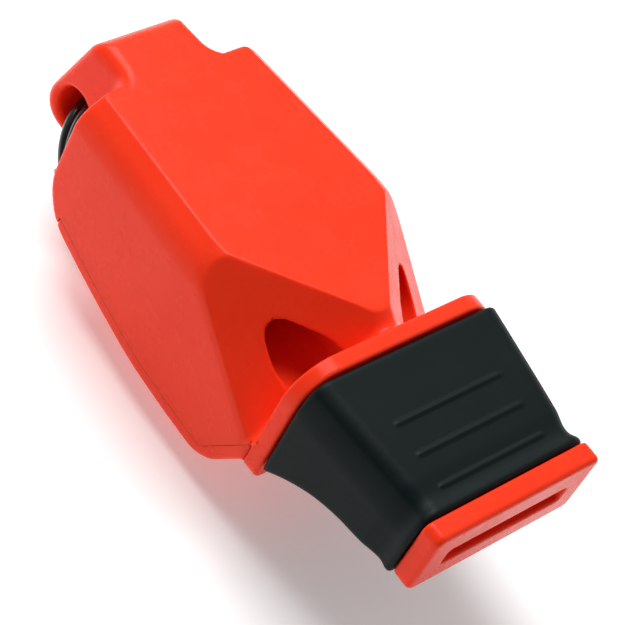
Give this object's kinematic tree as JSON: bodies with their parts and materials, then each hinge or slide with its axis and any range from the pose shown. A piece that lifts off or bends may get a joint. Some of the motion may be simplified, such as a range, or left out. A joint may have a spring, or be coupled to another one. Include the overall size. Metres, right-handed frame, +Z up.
{
  "type": "training whistle",
  "caption": "Pealess dog-training whistle: faceted hollow body with side tone holes, belly cover, cushioned rubber mouth grip and a split ring swinging in the rear eye.",
  "frame": {"origin": "centre of the whole object's box, on the level of its lowest point", "axes": "+X from the lug towards the mouth end, +Y to the whistle's left, +Z up through the flat top face"},
  "size_m": [0.0564, 0.0226, 0.0206],
  "materials": {
    "body_plastic": "moulded, satin gloss",
    "cover_plastic": "moulded, satin gloss",
    "insert_plastic": "moulded, plain",
    "grip_rubber": "soft, satin",
    "ring_metal": "black coated, glossy"
  },
  "bodies": {
    "whistle": {"body_shell": "body_plastic", "bottom_cover": "cover_plastic", "airway_insert": "insert_plastic", "mouth_grip": "grip_rubber"},
    "ring": {"split_ring": "ring_metal"}
  },
  "joints": [
    {"name": "ring_swing", "type": "hinge", "parent": "whistle", "child": "ring", "pos_m": [-0.0249, 0, 0.0107], "axis": [0, 1, 0], "range_deg": [0, 230]}
  ]
}
